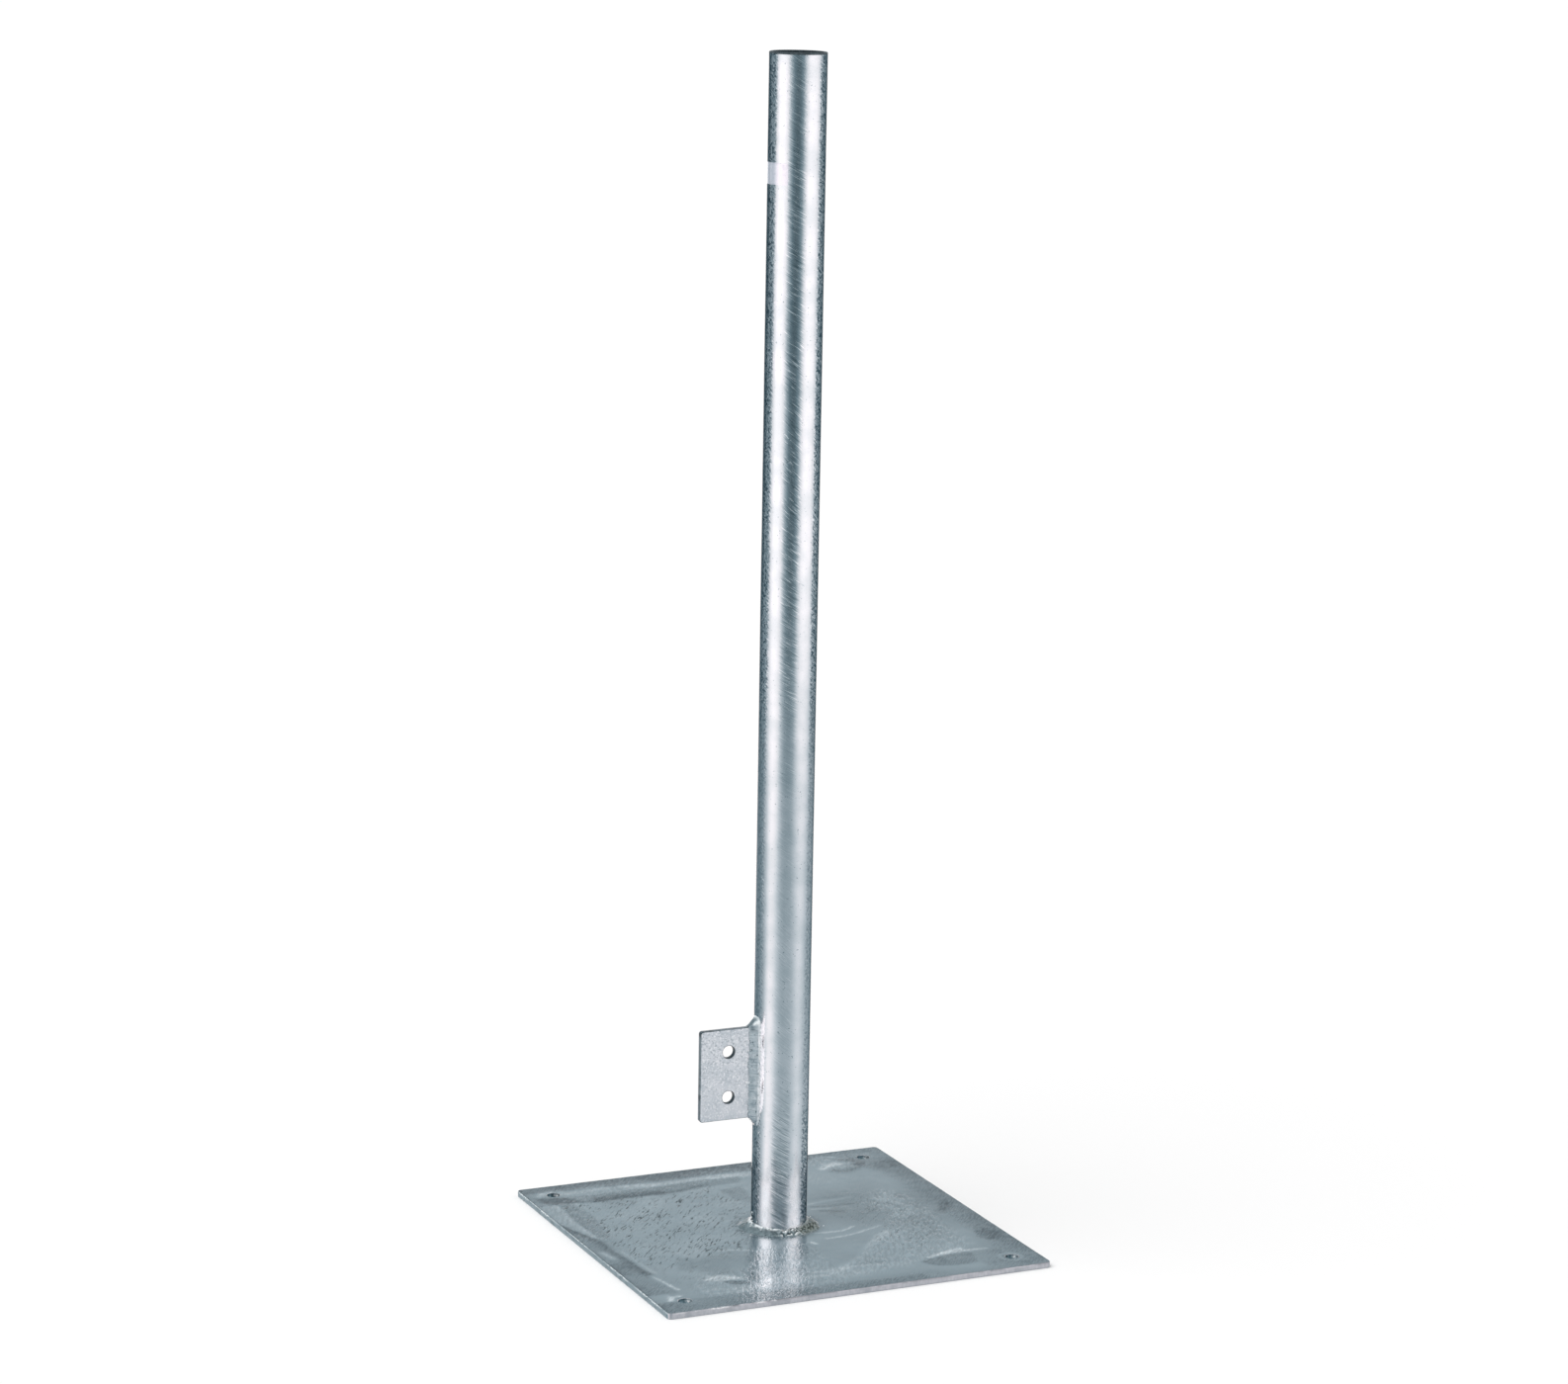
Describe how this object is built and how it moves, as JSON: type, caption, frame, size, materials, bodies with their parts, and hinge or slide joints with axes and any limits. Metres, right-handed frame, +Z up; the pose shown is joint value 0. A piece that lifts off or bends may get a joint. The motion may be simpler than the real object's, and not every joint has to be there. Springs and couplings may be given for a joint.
{
  "type": "ground sleeve with base plate",
  "caption": "Upright galvanised steel tube, open at the top, welded to a flat square base plate with bolt holes, with a small drilled lug welded to its side near the foot.",
  "frame": {"origin": "middle of the base plate's underside, on the tube's axis", "axes": "+Z up the tube, -X from the tube towards the lug, X and Y along the plate's sides"},
  "size_m": [0.35, 0.35, 1.01],
  "materials": {
    "galvanised_plate": "hot-dip galvanised, satin, with zinc flow marks",
    "galvanised_tube": "hot-dip galvanised, bright satin, fine diagonal scratches",
    "galvanised_lug": "hot-dip galvanised, pale satin, mottled",
    "galvanised_weld": "hot-dip galvanised over a hand-laid weld bead",
    "blank_label": "plain pale adhesive film"
  },
  "bodies": {
    "root": {"base_plate": "galvanised_plate", "post_tube": "galvanised_tube", "bolting_lug": "galvanised_lug", "foot_weld": "galvanised_weld", "lug_weld": "galvanised_weld"}
  },
  "joints": []
}
